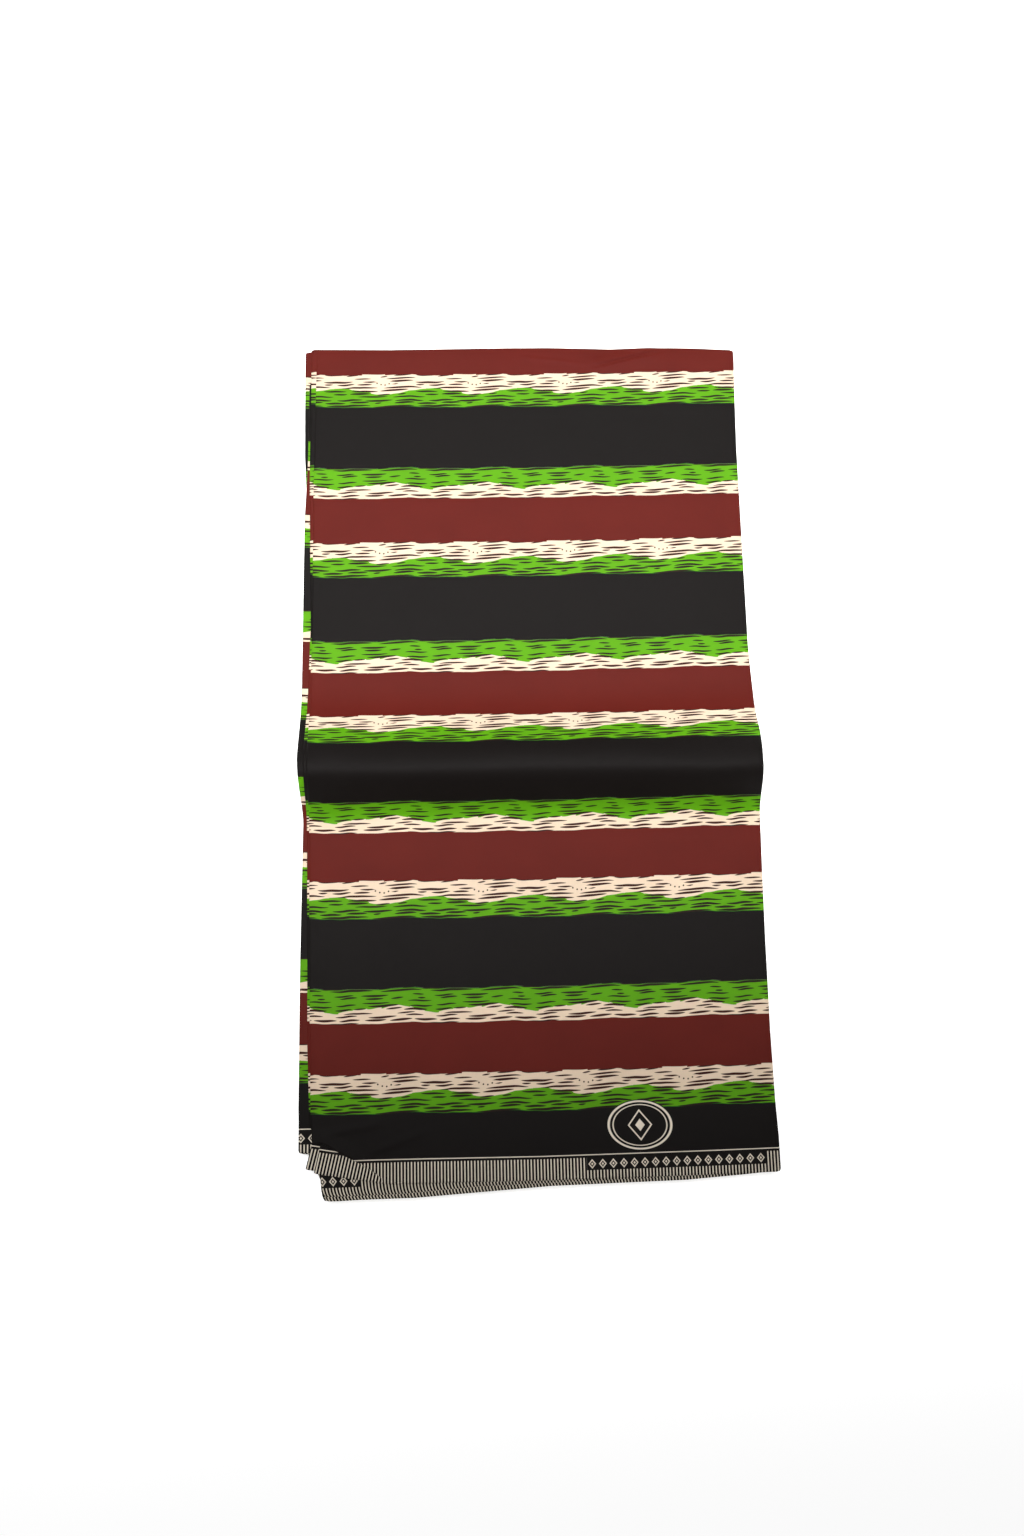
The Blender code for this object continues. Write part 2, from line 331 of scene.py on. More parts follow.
def folded(station, h, out, v):
    """Where a point of the cloth lies, as u, v and its level in layers, and its selvedge's v.

    station is (panel, part, turn): part runs from the panel's left to its right, and turn is None or the
    angle round the fold under the panel. h is as in halves(), and out is 1 on the fold at the far side."""
    panel, part, turn = station
    side = side_of(panel)
    up = h * side
    if turn is None:
        left, right = -reach_left(panel, h, v), PANEL_WIDTH + reach_right(panel, v)
        bulge = BULGE * pitch(v)
        u = mix(left + bulge, right - bulge, part)
        level = 2 * panel - 1 + up
        near = near_of(panel, h, u)
    else:
        down = turn / pi
        if side > 0:
            edge = PANEL_WIDTH + mix(reach_right(panel, v), reach_right(panel - 1, v), down)
        else:
            edge = -mix(reach_left(panel, h, v), reach_left(panel - 1, h, v), down)
        radius = 1 + up
        u = edge + side * pitch(v) * (radius * sin(turn) - BULGE)
        level = 2 * panel - 2 + radius * cos(turn)
        near = mix(near_of(panel, h, u), near_of(panel - 1, h, u), down)
    corner = drawn_in(min(u + reach_left(panel, h, v), PANEL_WIDTH + reach_right(panel, v) - u))
    far = far_of(panel, u) - PANEL_LENGTH - corner
    at_near = 1 - smooth(v / EDGE_FADE)
    at_far = smooth((v - PANEL_LENGTH + EDGE_FADE) / EDGE_FADE)
    v += (near + corner) * at_near + far * at_far
    v += out * pitch(v) / 2
    slack = SLACK + SLACK_ON_SWELL * swell(v) / SWELL_RISE
    level += slack * hilly(u, v, 0.07, 0.08, panel * 2.7)
    return u, v, level, near


print("Middle of the top panel:", [round(x, 4) for x in folded((PANELS, 0.5, None), 0.5, 0.0, 0.289)[:3]])

# %% [markdown]
# ## Making a sheet
#
# A sheet starts flat, as a grid, one line of it for each station and each place across the width. Then
# each of its corners goes where the rule puts it. Its map holds the true length and width of the cloth at
# each corner, in metres from the cut end and from the nearer selvedge, so that the print can be made in
# the cloth's own measures. A Solidify modifier gives the sheet the cotton's thickness.


# %% Stations and lines across the width
FOLD_LENGTH = 0.0007  # the cloth that goes round a fold


def lines(*stretches):
    """Places from one stretch to the next, each given as (start, end, number of steps)."""
    found = [stretches[0][0]]
    for low, high, count in stretches:
        found += [mix(low, high, (i + 1) / count) for i in range(count)]
    return found


def across_width(first, second, turns=3):
    """The places across the width: (h, out, v) from one selvedge over the far fold to the other."""
    places = [(0.5, 0.0, v) for v in first]
    places += [(0.5 * cos(pi * i / turns), sin(pi * i / turns), first[-1]) for i in range(1, turns)]
    return places + [(-0.5, 0.0, v) for v in reversed(second)]


def fold_under(panel, steps):
    return [(panel, None, pi * i / steps) for i in range(1, steps)]


def length_at(station):
    """How far along the cloth a station is, from the cut end of the top panel."""
    panel, part, turn = station
    side = side_of(panel)
    done = (PANELS - panel) * PANEL_WIDTH
    if turn is not None:
        return done + PANEL_WIDTH + FOLD_LENGTH * (turn / pi - 0.5)
    return done + PANEL_WIDTH * (part if side > 0 else 1 - part)


def from_selvedge(v, near, level):
    """How far a point is from its selvedge along the cloth. A low layer hardly goes up over the swell."""
    return v - near + spare_length(v) * (level / LAYERS) ** 2


# %% The grid and how it is folded
def make_sheet(name, stations, places, put, chart):
    """A grid with a line for each station and each place, folded by put(station, h, out, v)."""
    bm = bmesh.new()
    wide, high = len(stations) - 1, len(places) - 1
    bmesh.ops.create_grid(bm, x_segments=wide, y_segments=high, size=1)
    cloth = bm.loops.layers.uv.new("cloth")
    picture = bm.loops.layers.uv.new("OFBake")
    spot = {}
    for vert in bm.verts:
        spot[vert] = (round((vert.co.x + 1) / 2 * wide), round((vert.co.y + 1) / 2 * high))
    measure = {}
    for vert, (i, j) in spot.items():
        u, v, z, width = put(stations[i], *places[j])
        vert.co = start + Vector((u, v, z))
        measure[vert] = (length_at(stations[i]), width)
    rows, across = rows_along(stations, chart["split"]), lengths_across(places)
    for face in bm.faces:
        i, j = [min(spot[vert][k] for vert in face.verts) for k in (0, 1)]
        for loop in face.loops:
            here_i, here_j = spot[loop.vert]
            loop[cloth].uv = measure[loop.vert]
            loop[picture].uv = on_chart(chart, rows[i], here_i > i, across[j], across[here_j])
    mesh = bpy.data.meshes.new(name)
    bm.to_mesh(mesh)
    bm.free()
    mesh.uv_layers["cloth"].active_render = True
    mesh.shade_smooth()
    sheet = bpy.data.objects.new(name, mesh)
    bpy.context.scene.collection.objects.link(sheet)
    wall = sheet.modifiers.new("cotton", "SOLIDIFY")
    wall.thickness = COTTON
    wall.offset = 0
    wall.use_rim = True
    wall.use_quality_normals = True
    print(name, "has", len(mesh.polygons), "faces before it gets its thickness")
    return sheet


def put_lower(station, h, out, v):
    u, v, level, near = folded(station, h, out, v)
    return u, v, level * pitch(v), from_selvedge(v, near, level)


# %% [markdown]
# ## A second map, for pictures of the print
#
# Other programs can't run the shader, so this second map lays the cloth out on a square, for a picture of
# the print. Only a small part of the bundle's cloth shows, and the bars at the selvedge are the finest
# thing on it. So the second map gives the square mostly to what shows: a chart tells which part of the
# width goes into which box of the square, and folded edges are stretched in it.

# %% Laying the sheets out on a square
FOLD_STEP = 0.0006  # room for each step round a fold
STRETCH = 0.4  # below 1, for more room at the end that shows
HAIR = 0.0001  # so that rounding puts no face into the next box
REST = 2.0  # more than any width: this box takes all that is left


def rows_along(stations, split):
    """For each step between stations: its row, and where in the row it starts and ends, from 0 to 1."""
    steps, done = [], {}
    for here, there in zip(stations, stations[1:]):
        flat = here[2] is None and there[2] is None
        row = here[0] if split else 0
        before = done.get(row, 0.0)
        done[row] = before + (abs(here[1] - there[1]) * PANEL_WIDTH if flat else FOLD_STEP)
        steps.append((row, before, done[row]))
    return [(row, low / done[row], high / done[row]) for row, low, high in steps]


def lengths_across(places):
    """How far each place is from the first selvedge, along the cloth."""
    found, at = [], 0.0
    for low, high in zip([places[0], *places], places):
        at += max(abs(high[2] - low[2]), FOLD_STEP if high is not places[0] else 0.0)
        found.append(at)
    return found


def stretched(part, ends):
    """Gives more room to the start, the end or both ends of a row."""
    if ends == "start":
        return part**STRETCH
    if ends == "end":
        return 1 - (1 - part) ** STRETCH
    if ends == "both":
        return (2 * part) ** STRETCH / 2 if part < 0.5 else 1 - (2 - 2 * part) ** STRETCH / 2
    return part


def on_chart(chart, step, at_end, face_at, at):
    """The place on the square for a corner of a face. face_at is where the face starts across the width."""
    row, low, high = step
    start_at = 0.0
    for box in chart["boxes"](row):
        if face_at < box["until"] - HAIR:
            break
        start_at = box["until"]
    along = stretched(high if at_end else low, box.get("ends"))
    across = (at - start_at) / (min(box["until"], chart["width"]) - start_at)
    if box.get("turned"):
        along, across = across, along
    return mix(box["low"][0], box["high"][0], along), mix(box["low"][1], box["high"][1], across)


# %% [markdown]
# ## The lower panels
#
# Sixteen doubled panels lie under the two that show. Only their folds and selvedges are seen, so the grid
# has most of its lines there, and few in the middle.

# %% Making the lower panels
SWELL_LINES = lines((SWELL_CREST - SWELL_NEAR, SWELL_CREST, 9), (SWELL_CREST, SWELL_CREST + SWELL_FAR, 11))
LOWER_V = [
    *lines((0, 0.006, 3), (0.006, 0.040, 4), (0.040, 0.215, 5)),
    *SWELL_LINES,
    *lines((0.37, 0.56, 6), (0.56, 0.574, 2), (0.574, PANEL_LENGTH, 2)),
]
LOWER_PARTS = [0, 0.012, 0.035, 0.08, 0.2, 0.5, 0.8, 0.92, 0.965, 0.988, 1]


def run(panel, parts):
    """Stations through one panel, in the direction that the cloth takes."""
    parts = sorted(parts, reverse=side_of(panel) < 0)
    return [(panel, part, None) for part in parts]


JOIN = 0.0301  # the next panel's sheet ends here in the panel below, and this one begins
JOIN_GAP, CLEAR_OF_JOIN = 0.0001, 0.02  # between the two, and to this sheet's next line
stations = [(PANELS - 2, JOIN, None)]
stations += [station for station in run(PANELS - 2, LOWER_PARTS) if station[1] > JOIN + CLEAR_OF_JOIN]
for panel in range(PANELS - 2, 1, -1):
    stations += fold_under(panel, 5) + run(panel - 1, LOWER_PARTS)
places = across_width(LOWER_V, LOWER_V)
LOWER_EDGE = LOWER_V[4]  # the selvedge's bars get a box of their own, up to this v
LOWER_WIDTH = lengths_across(places)[-1]
BARS_BOX = {"from": 0.010, "panel": 0.0078, "half": 0.0039, "tall": 0.0036}
REST_BOX = {"from": 0.145, "panel": 0.0530, "half": 0.0265, "tall": 0.0250, "turned": True, "ends": "both"}


def strip(box, row, half, until):
    """A box across the whole square, at the height that the panel's row and the half give it."""
    low = box["from"] + box["panel"] * (row - 1) + box["half"] * half
    return {**box, "until": until, "low": (0, low), "high": (1, low + box["tall"])}


def lower_boxes(row):
    """Four boxes for each panel: one for each selvedge's bars and one for the rest of each half."""
    return (
        strip(BARS_BOX, row, 0, LOWER_EDGE),
        strip(REST_BOX, row, 0, LOWER_WIDTH / 2),
        strip(REST_BOX, row, 1, LOWER_WIDTH - LOWER_EDGE),
        strip(BARS_BOX, row, 1, LOWER_WIDTH),
    )


chart = {"split": True, "width": LOWER_WIDTH, "boxes": lower_boxes}
lower = make_sheet("lower_panels_cloth", stations, places, put_lower, chart)

# %% [markdown]
# ## The next panel
#
# This is the panel under the top one. Its upper half ends in the fold along the left side, and its lower
# half in the selvedge along the near side. It begins inside the top panel's fold at the right, and goes on
# a little way round its own fold at the left.

# %% Making the next panel
NEXT_V = [
    *lines((0, 0.012, 8), (0.012, 0.040, 10), (0.040, 0.215, 24)),
    *SWELL_LINES,
    *lines((0.36, 0.56, 24), (0.56, 0.574, 3), (0.574, PANEL_LENGTH, 3)),
]
NEXT_PARTS = lines((0.0, 0.05, 10), (0.05, 0.2, 12), (0.2, 0.975, 24))
stations = run(PANELS - 1, NEXT_PARTS) + fold_under(PANELS - 1, 7)
stations += [(PANELS - 2, part, None) for part in (0, 0.01, JOIN - JOIN_GAP)]
places = across_width(NEXT_V, NEXT_V)
NEXT_EDGE = NEXT_V[12]
NEXT_BOXES = (
    {"until": NEXT_EDGE, "low": (0, 0.005), "high": (1, 0.120)},
    {"until": PANEL_LENGTH + 0.001, "low": (0, 0.130), "high": (1, 0.500), "turned": True, "ends": "end"},
    {"until": REST, "low": (0, 0.510), "high": (1, 0.995), "turned": True, "ends": "end"},
)
chart = {"split": False, "width": lengths_across(places)[-1], "boxes": lambda row: NEXT_BOXES}
following = make_sheet("next_panel_cloth", stations, places, put_lower, chart)

# %% [markdown]
# ## The top panel and its rumpled corner
#
# The top panel is seen all over, so it has a fine grid. At its near left corner the end of the selvedge
# strip has been turned clockwise by 9 degrees, and its bars lean 4 degrees more, because cotton gives on
# the bias. The cloth behind it has length to spare, and hangs over the turned part in a soft rim. The rim
# runs from the left edge down to the selvedge, where it ends in the hinge of the turn. A cloth simulation
# would put such a corner anywhere, so it is given here: the rim is a short line of points, and the rule
# carries the strip and tucks what is hidden under it. The rest lies flat, with a few low marks of handling:
# a faint crease near the far fold, small dents on the swell, and a slow unevenness.

# %% The rumple and the creases
HINGE = Vector((0.0505, -0.0015))
SELVEDGE_TURN = radians(9.1)
LEAN = Vector((0.23, 0.99))  # where a step away from the selvedge leads on the turned part
RIM = listed(
    "u v",
    (-0.0050, 0.0226), (0.0031, 0.0240), (0.0088, 0.0248), (0.0143, 0.0220), (0.0182, 0.0196),
    (0.0248, 0.0160), (0.0348, 0.0108), (0.0435, 0.0051), (0.0505, -0.0015),
)
RIM_HIGH = 0.0015
RIM_FADE = 0.0110
RIM_GROWS = 0.030  # the rim reaches its height this far from the hinge
TUCK = 0.30  # how deep the cloth goes back under the rim, of the length that is hidden there
HALVINGS = 16  # steps to find where it goes under
UNDER_TURN_ENDS, UNDER_TURN_FADE = 0.017, 0.020  # the lower half turns up to this v, and less after it

# Low ridges, each along a line. They are this "wide" to the right of it and fade within "fade" to the left,
# so that a ridge can be steep on one side and gentle on the other.
CREASES = listed(
    "from to wide fade high",
    ((0.2050, 0.5666), (0.2465, 0.5772), 0.0014, 0.0070, 0.00135),
    ((0.2480, 0.5744), (0.2060, 0.5636), 0.0014, 0.0080, 0.00100),
    ((0.282, 0.268), (0.293, 0.259), 0.0016, 0.0016, 0.00045),
    ((0.268, 0.262), (0.281, 0.258), 0.0020, 0.0020, 0.00030),
    ((0.020, 0.252), (0.050, 0.247), 0.0030, 0.0030, 0.00040),
    ((0.120, 0.250), (0.190, 0.246), 0.0034, 0.0034, 0.00035),
    ((0.010, 0.030), (0.046, 0.036), 0.0040, 0.0040, 0.00050),
    ((0.040, 0.018), (0.075, 0.030), 0.0040, 0.0040, 0.00040),
    ((0.005, 0.090), (0.004, 0.200), 0.0030, 0.0030, 0.00030),
    ((0.150, 0.572), (0.196, 0.566), 0.0030, 0.0030, 0.00025),
)
RUN_OUT = 0.2  # a crease rises and falls at its ends over this part of its length, to both sides
UNEVEN, UNEVEN_ON_SWELL = 0.00034, 0.0011  # height of the slow unevenness
LEVEL_RIM, LEVEL_FAR = 0.012, 0.010  # it fades out within this from the sides and from the far fold
LEFT_RIDGE, LEFT_RIDGE_WIDE = 0.00035, 0.006  # the left edge stands up a little over the fold under it
UNDER_SHARE = 0.4  # the lower half of the cloth has this much of the relief


def turned_selvedge(u, v):
    """Where the turn carries a point of the selvedge strip."""
    out, up = u - HINGE.x, v - HINGE.y
    return (
        HINGE.x + out * cos(SELVEDGE_TURN) + up * LEAN.x,
        HINGE.y - out * sin(SELVEDGE_TURN) + up * LEAN.y,
    )


def goes_under(u):
    """The v at which the turned part of this line of the cloth goes under the rim."""
    low, high = HINGE.y, read_table(RIM, "u", "v", u)
    for _ in range(HALVINGS):
        middle = (low + high) / 2
        strip_u, strip_v = turned_selvedge(u, middle)
        if strip_v < read_table(RIM, "u", "v", strip_u):
            low = middle
        else:
            high = middle
    return low


def rumpled(u, v, upper):
    """Where a point of the top panel goes in its near left corner, and its lift."""
    if u >= HINGE.x:
        return u, v, 0.0
    strip_u, strip_v = turned_selvedge(u, v)
    if not upper:
        kept = 1 - smooth((v - UNDER_TURN_ENDS) / UNDER_TURN_FADE)
        return mix(u, strip_u, kept), mix(v, strip_v, kept), 0.0
    rim, under = read_table(RIM, "u", "v", u), goes_under(u)
    high = RIM_HIGH * smooth((HINGE.x - u) / RIM_GROWS)
    if v >= rim:
        return u, v, high * (1 - smooth((v - rim) / RIM_FADE))
    if v <= under:
        return strip_u, strip_v, 0.0
    part = (rim - v) / (rim - under)
    end_u, end_v = turned_selvedge(u, under)
    back = TUCK * (rim - under) * sin(pi * part)
    eased = smooth(part)
    return mix(u, end_u, eased), mix(rim, end_v, eased) + back, high * (1 - eased)


def along_crease(crease, u, v):
    """A crease's height at a point: full along its middle, and running out to its sides and ends."""
    a, b = Vector(crease["from"]), Vector(crease["to"])
    line = b - a
    part = ((u - a.x) * line.x + (v - a.y) * line.y) / line.length_squared
    if not -RUN_OUT < part < 1 + RUN_OUT:
        return 0.0
    beside = (line.x * (v - a.y) - line.y * (u - a.x)) / line.length
    wide = crease["fade"] if beside > 0 else crease["wide"]
    ends = smooth((part + RUN_OUT) / (2 * RUN_OUT)) * smooth((1 + RUN_OUT - part) / (2 * RUN_OUT))
    return crease["high"] * bump(beside / wide) * ends


def relief(u, v):
    """The height of the top panel's unevenness and handling marks."""
    slow = hilly(u, v, 0.085, 0.10, 3.3) + 0.5 * hilly(u, v, 0.034, 0.045, 9.1)
    height = UNEVEN * (1 + slow)
    on_swell = swell(v) / SWELL_RISE
    height += UNEVEN_ON_SWELL * on_swell * hilly(u, v, 0.05, 0.03, 5.9)
    at_sides = smooth(u / LEVEL_RIM) * smooth((PANEL_WIDTH - u) / LEVEL_RIM)
    height *= at_sides * smooth((PANEL_LENGTH - v) / LEVEL_FAR)
    height += LEFT_RIDGE * bump(u / LEFT_RIDGE_WIDE) * (1 + wave(3, v, 0.05))
    return height + sum(along_crease(crease, u, v) for crease in CREASES)


print("The top panel has", len(CREASES), "creases and a rim of", len(RIM), "points")


# %% Making the top panel
# A folded cloth is never pulled evenly: how far its print lies off, in the middle and from left to right
PULL = listed(
    "v middle slant",
    (0.020, 0.0000, 0.0000), (0.168, 0.0009, 0.0000), (0.288, 0.0007, -0.0012),
    (0.406, 0.0002, -0.0021), (0.534, -0.0014, -0.0018),
)


def put_top(station, h, out, v):
    u, v, level, near = folded(station, h, out, v)
    slanted = read_table(PULL, "v", "slant", v) * (u / PANEL_WIDTH - 0.5)
    width = from_selvedge(v, near, level) + (read_table(PULL, "v", "middle", v) + slanted)
    z = level * pitch(v)
    if station[0] == PANELS and station[2] is None:
        z += relief(u, v) * mix(UNDER_SHARE, 1.0, h + 0.5)
        u, v, lift = rumpled(u, v, h > 0)
        z += lift
    return u, v, z, width


TOP_V = [
    *lines((0, 0.012, 9), (0.012, 0.030, 26), (0.030, 0.045, 10), (0.045, 0.228, 56)),
    *lines((0.2315, SWELL_CREST, 14), (SWELL_CREST, 0.345, 28), (0.3475, 0.555, 62)),
    *lines((0.5575, 0.576, 26), (0.577, PANEL_LENGTH, 1)),
]
UNDER_V = [
    *lines((0, 0.012, 5), (0.012, 0.045, 10), (0.06, 0.215, 6)),
    *SWELL_LINES,
    *lines((0.37, 0.55, 6), (0.562, 0.574, 2), (0.576, PANEL_LENGTH, 1)),
]
TOP_PARTS = lines((0.0, 0.17, 56), (0.17, 0.98, 86), (0.98, 1.0, 3))
stations = run(PANELS, TOP_PARTS) + fold_under(PANELS, 7)
stations += [(PANELS - 1, part, None) for part in (1, 0.996, 0.985)]
places = across_width(TOP_V, UNDER_V)
TOP_BOXES = (
    {"until": 0.042, "low": (0, 0.003), "high": (1, 0.125)},
    {"until": 0.315, "low": (0, 0.130), "high": (0.497, 0.915)},
    {"until": PANEL_LENGTH + 0.010, "low": (0.503, 0.130), "high": (1, 0.915)},
    {"until": REST, "low": (0, 0.920), "high": (1, 0.997), "turned": True, "ends": "start"},
)
chart = {"split": False, "width": lengths_across(places)[-1], "boxes": lambda row: TOP_BOXES}
top = make_sheet("top_panel_cloth", stations, places, put_top, chart)

# %% [markdown]
# ## The print
#
# Wax prints are printed on both sides, so that the cloth has no wrong side. The stripes run along the
# length. A painted picture of them would blur from near. So the shader works the print out with sums, in
# millimetres of cloth, from the map that each sheet has, and the stripes run on from fold to fold.

# %% Helpers for a shader
material = bpy.data.materials.new("wax_print")
material.use_nodes = True
tree = material.node_tree
shader = tree.nodes["Principled BSDF"]


def feed(socket, value):
    """Puts a number, a colour or another node's output into a socket."""
    if isinstance(value, bpy.types.NodeSocket):
        tree.links.new(value, socket)
    else:
        socket.default_value = value


def calc(operation, *values, clamp=False):
    node = tree.nodes.new("ShaderNodeMath")
    node.operation = operation
    node.use_clamp = clamp
    for socket, value in zip(node.inputs, values):
        feed(socket, value)
    return node.outputs[0]


def count_nodes():
    print("The print's shader has", len(tree.nodes), "nodes so far")


def plus(a, b):
    return calc("ADD", a, b)


def minus(a, b):
    return calc("SUBTRACT", a, b)


def times(a, b):
    return calc("MULTIPLY", a, b)


def vector(x, y, z):
    node = tree.nodes.new("ShaderNodeCombineXYZ")
    for socket, value in zip(node.inputs, (x, y, z)):
        feed(socket, value)
    return node.outputs[0]


def cloudy(place, detail=0.0):
    """Smooth noise around 0.5."""
    node = tree.nodes.new("ShaderNodeTexNoise")
    node.inputs["Scale"].default_value = 1.0
    node.inputs["Detail"].default_value = detail
    feed(node.inputs["Vector"], place)
    return node.outputs["Fac"]


def inside(distance, soft=0.12):
    """1 where the distance is above 0 and 0 where it is below, with an edge this many millimetres soft."""
    return calc("MULTIPLY_ADD", distance, 1 / soft, 0.5, clamp=True)


MIX_FACTOR, MIX_UNDER, MIX_OVER, MIX_RESULT = 0, 6, 7, 2  # a Mix node's sockets for colours


def painted(part, under, over):
    """One colour over another."""
    node = tree.nodes.new("ShaderNodeMix")
    node.data_type = "RGBA"
    feed(node.inputs[MIX_FACTOR], part)
    feed(node.inputs[MIX_UNDER], under)
    feed(node.inputs[MIX_OVER], over)
    return node.outputs[MIX_RESULT]


# %% The cloth's own measures
REPEAT = 65.8  # the print comes round again after this many millimetres of length
PITCH = 126.25  # from one black stripe to the next
BLACK_TOP = 43.8  # the first black stripe ends here, from the selvedge

map_node = tree.nodes.new("ShaderNodeUVMap")
map_node.uv_map = "cloth"
split = tree.nodes.new("ShaderNodeSeparateXYZ")
feed(split.inputs[0], map_node.outputs[0])
length = times(split.outputs[0], 1000.0)  # from metres to millimetres
width = times(split.outputs[1], 1000.0)
turn = times(length, 2 * pi / REPEAT)
ring = (calc("COSINE", turn), calc("SINE", turn))


def sway(grain, height, seed):
    """A slow wave of this height to both sides that comes round with the print.

    grain is its size along the cloth, in millimetres."""
    radius = REPEAT / (2 * pi) / grain
    wandering = cloudy(vector(times(ring[0], radius), times(ring[1], radius), seed))
    return times(minus(wandering, 0.5), 4 * height)


# %% [markdown]
# ## Stripes
#
# From one black stripe to the next there are a band of green and cream, a maroon stripe, and a narrower
# band of cream and green. A roller's edge is never quite straight: the edges are a little uneven, and cream
# runs into green in long low waves. Each edge is a distance from the black stripe's edge, so that waves and
# steps can simply be added to it.

# %% The stripes' edges
LOWER_BAND = 25.2  # the band of green and cream ends here, above the black stripe's edge
MAROON_TOP = 57.6
UPPER_BAND = 80.2
LOWER_CHANGE = 12.4  # green turns to cream in the lower band, and cream to green in the upper one
UPPER_CHANGE = 67.3
LOW_WAVE, HUMP, SKEW = 2.1, 2.0, 0.7  # height of the long waves there
LOW_WAVE_AT, HUMP_AT, SKEW_AT = 1.45, -1.2, -2.6  # where in the repeat they start, as an angle


def drawn_by_chance(*place):
    """Three even random numbers, and a fourth, for a place given by up to three whole numbers."""
    node = tree.nodes.new("ShaderNodeTexWhiteNoise")
    feed(node.inputs["Vector"], vector(*place))
    parts = tree.nodes.new("ShaderNodeSeparateColor")
    feed(parts.inputs[0], node.outputs["Color"])
    return (*parts.outputs[:3], node.outputs["Value"])


def steps(count, seed, high):
    """Small steps up and down along an edge, where the roller's strokes end."""
    step = calc("FLOORED_MODULO", calc("FLOOR", times(length, count / REPEAT)), count)
    return times(minus(drawn_by_chance(step, seed, 0.0)[0], 0.5), high)


printed_width = plus(width, plus(sway(9.0, 0.3, 1.7), sway(24.0, 0.5, 6.1)))
stripe = calc("FLOORED_MODULO", minus(printed_width, BLACK_TOP), PITCH)

low_wave = times(calc("COSINE", minus(turn, LOW_WAVE_AT)), LOW_WAVE)
low_edge = plus(plus(LOWER_CHANGE, low_wave), plus(sway(11.0, 1.0, 4.2), steps(5, 1.0, 0.9)))
hump = times(calc("COSINE", minus(turn, HUMP_AT)), HUMP)
skewed = times(calc("SINE", minus(times(turn, 2.0), SKEW_AT)), SKEW)
high_edge = plus(plus(UPPER_CHANGE, plus(hump, skewed)), plus(sway(7.0, 0.5, 8.9), steps(7, 2.0, 1.5)))
count_nodes()

# %% [markdown]
# ## Strokes
#
# The bands are drawn all over with thin dark strokes, pointed at both ends, which lie staggered in rows.
# There are thousands of them, too many to draw one by one, so the shader works them out: each row is
# divided into two to four places to a repeat, and chance says how long and thick the stroke in each place
# is, and where it lies. All lean a little the same way, as a hand draws them. Once to a repeat a bow of
# four small dots lies in the cream of the lower band. It comes first, and the strokes grow thin round it.

# %% The four small dots
DOTS_MIDDLE, DOTS_AT = 48.1, 18.4  # their middle along the repeat, and above the black stripe's edge
DOT_PITCH, DOT_RADIUS = 2.9, 0.55
BOW_START, BOW_STEP = 1.7, 1.2  # the angles whose sines say how far the dots lie off a straight row
CLEAR_LONG, CLEAR_HIGH = 8.0, 2.6  # half the length and height of the oval that is kept for them
ROOM_START, ROOM_GROWS = -1.6, 2.2  # no stroke within 0.73 of that oval, and full strokes from 1.18 on


def far_from(along, up):
    """The straight distance to a point that lies so far along and so far up."""
    return calc("SQRT", plus(times(along, along), times(up, up)))


beyond = minus(calc("FLOORED_MODULO", plus(length, REPEAT / 2 - DOTS_MIDDLE), REPEAT), REPEAT / 2)
over = minus(stripe, DOTS_AT)
bow = calc("SINE", plus(times(calc("FLOOR", times(beyond, 1 / DOT_PITCH)), BOW_STEP), BOW_START))
beside_dot = minus(calc("FLOORED_MODULO", beyond, DOT_PITCH), DOT_PITCH / 2)
from_dot = far_from(beside_dot, plus(over, bow))
dotted = inside(minus(2 * DOT_PITCH, calc("ABSOLUTE", beyond)))
dots = times(inside(minus(DOT_RADIUS, from_dot), 0.25), dotted)
from_group = far_from(times(beyond, 1 / CLEAR_LONG), times(over, 1 / CLEAR_HIGH))
room = calc("MULTIPLY_ADD", from_group, ROOM_GROWS, ROOM_START, clamp=True)
count_nodes()

# %% The strokes
ROW = 2.35  # from one row to the next
STROKE = 0.76  # half the thickness of a full stroke
STROKE_SOFT = 0.18  # how soft its edge is
SHORTEST, LONGER = 0.12, 0.37  # half the length of the shortest stroke and what chance adds, in places
OFF_ROW = 1.2  # the strokes lie up to half of this off the middle of their row
LEAN_UP = 0.24  # a stroke's end lies this much higher than its middle
POINTED = 0.6  # 0.5 would make an oval, and 1 sharp points


def strokes(room):
    """The strokes, thinner where there is less room for them, from 1 down to 0."""
    rows = times(plus(stripe, sway(26.0, 0.5, 3.3)), 1 / ROW)
    row = calc("FLOOR", rows)
    count = plus(2.0, calc("FLOORED_MODULO", times(row, 2.0), 3.0))
    offset = drawn_by_chance(row, 0.0, 5.0)[0]
    along = times(plus(times(length, 1 / REPEAT), offset), count)
    place = calc("FLOORED_MODULO", calc("FLOOR", along), count)
    chance = drawn_by_chance(row, place, 2.0)
    half = plus(SHORTEST, times(calc("SQRT", chance[0]), LONGER))
    middle = times(minus(chance[1], 0.5), minus(1.0, times(half, 2.0)))
    ended = calc("DIVIDE", minus(minus(calc("FRACT", along), 0.5), middle), half)
    lens = minus(1.0, times(ended, ended))
    centre = plus(times(minus(chance[2], 0.5), OFF_ROW), times(ended, LEAN_UP))
    beside = calc("ABSOLUTE", minus(times(minus(minus(rows, row), 0.5), ROW), centre))
    shape = calc("POWER", calc("MAXIMUM", lens, 0.0), POINTED)
    thick = times(times(shape, room), plus(STROKE * 0.8, times(chance[3], STROKE * 0.4)))
    return inside(minus(minus(thick, STROKE_SOFT / 2), beside), STROKE_SOFT)


dashes = calc("MAXIMUM", dots, strokes(room))
count_nodes()

